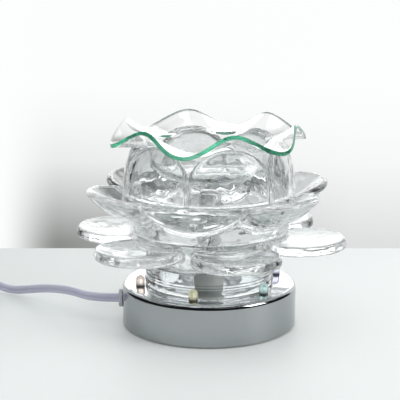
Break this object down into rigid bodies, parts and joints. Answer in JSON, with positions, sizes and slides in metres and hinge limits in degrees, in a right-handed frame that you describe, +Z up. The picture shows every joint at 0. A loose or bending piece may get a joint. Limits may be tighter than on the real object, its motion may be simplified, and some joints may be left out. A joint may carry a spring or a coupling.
{
  "type": "wax melt warmer",
  "caption": "Electric wax melt warmer: chrome drum base with small coloured lamps, stacked clear glass lotus petals over a halogen lamp, and a loose ruffled glass dish.",
  "frame": {"origin": "centre of the base on the table, in the plane of the foot pads", "axes": "+Z up along the axis of the glass, -X the way the mains lead leaves the base, -Y the front seen in the picture"},
  "size_m": [0.3304, 0.1538, 0.1177],
  "materials": {
    "chrome_shell": "polished",
    "black_plastic": "matte",
    "foot_rubber": "matte",
    "zinc_steel": "satin",
    "grommet_pvc": "satin",
    "flex_pvc": "satin",
    "nylon": "matte",
    "wire_pvc": "satin",
    "circuit_board": "satin",
    "film_capacitor": "satin",
    "black_epoxy": "matte",
    "tinned_wire": "bright",
    "epoxy_blue": "clear",
    "epoxy_orange": "clear",
    "epoxy_violet": "clear",
    "epoxy_red": "clear",
    "epoxy_yellow": "clear",
    "epoxy_green": "clear",
    "porcelain": "satin",
    "quartz_glass": "clear",
    "pressed_glass": "clear",
    "float_glass": "clear",
    "tie_plastic": "matte",
    "white_abs": "satin",
    "grey_abs": "matte",
    "plug_pvc": "satin",
    "blade_brass": "satin"
  },
  "bodies": {
    "warmer": {"base_shell": "chrome_shell", "bottom_cover": "black_plastic", "foot_pads": "foot_rubber", "cover_posts": "zinc_steel", "cover_screws": "zinc_steel", "holder_screws": "zinc_steel", "holder_nuts": "zinc_steel", "dimmer_screws": "zinc_steel", "dimmer_pivot": "zinc_steel", "cord_grommet": "grommet_pvc", "cord_inside": "flex_pvc", "cord_lead": "flex_pvc", "cord_link": "flex_pvc", "cord_coil": "flex_pvc", "cord_tail": "flex_pvc", "terminal_block": "nylon", "board_spacers": "nylon", "lamp_wires": "wire_pvc", "board_wires": "wire_pvc", "led_board": "circuit_board", "dimmer_board": "circuit_board", "board_capacitor": "film_capacitor", "board_rectifier": "black_epoxy", "dimmer_triac": "black_epoxy", "led_leads": "tinned_wire", "bulb_pins": "tinned_wire", "bulb_filament": "tinned_wire", "led_blue": "epoxy_blue", "led_orange": "epoxy_orange", "led_violet": "epoxy_violet", "led_red": "epoxy_red", "led_yellow": "epoxy_yellow", "led_green": "epoxy_green", "lamp_holder": "porcelain", "bulb_glass": "quartz_glass", "glass_neck": "pressed_glass", "lower_petals": "pressed_glass", "middle_petals": "pressed_glass", "upper_petals": "pressed_glass", "cord_tie": "tie_plastic", "dimmer_base": "white_abs", "dimmer_cover": "white_abs", "plug_body": "plug_pvc", "plug_blades": "blade_brass"},
    "dish": {"wax_dish": "float_glass"},
    "thumbwheel": {"dimmer_wheel": "grey_abs"}
  },
  "joints": [
    {"name": "dish_lift", "type": "slide", "parent": "warmer", "child": "dish", "axis": [0, 0, 1], "range_m": [0, 0.06]},
    {"name": "dimmer_turn", "type": "hinge", "parent": "warmer", "child": "thumbwheel", "pos_m": [-0.167, 0.054, 0.0115], "axis": [0, 1, 0], "range_deg": [0, 270]}
  ]
}
